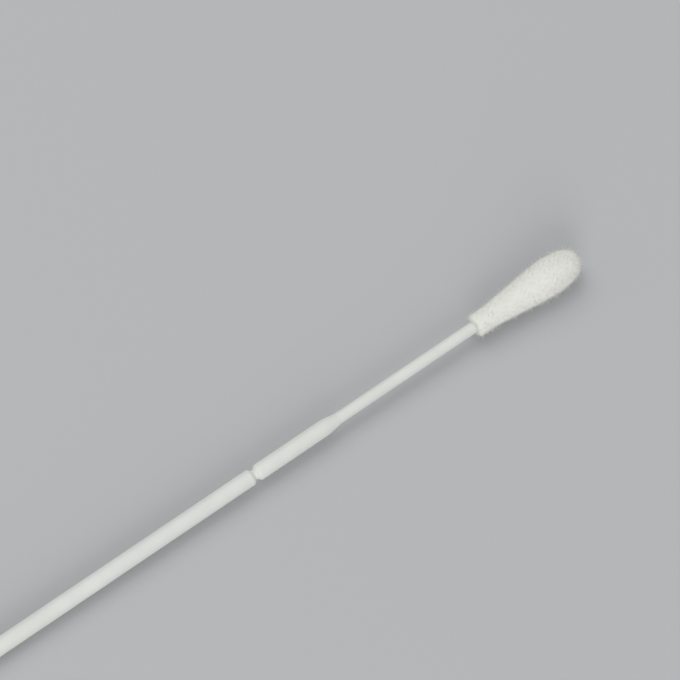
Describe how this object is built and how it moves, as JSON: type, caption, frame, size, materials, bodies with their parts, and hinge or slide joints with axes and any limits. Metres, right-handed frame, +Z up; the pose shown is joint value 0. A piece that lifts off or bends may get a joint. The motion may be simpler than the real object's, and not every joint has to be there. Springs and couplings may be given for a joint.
{
  "type": "flocked specimen swab",
  "caption": "Straight moulded plastic stick with a snap-off groove and a slimmer neck, ending in a drop-shaped tip covered with short nylon pile.",
  "frame": {"origin": "on the surface that the swab lies on, under the middle of its length", "axes": "+X from the end of the grip towards the tip, as seen from above; +Z up from the surface that the swab lies on. The swab's own axis rises 0.66 degrees towards the tip, because its head is thicker than its grip"},
  "size_m": [0.15, 0.006, 0.0059],
  "materials": {
    "moulded_plastic": "satin",
    "nylon_flock": "matte"
  },
  "bodies": {
    "root": {"shaft": "moulded_plastic", "flock_tip": "nylon_flock"}
  },
  "joints": []
}
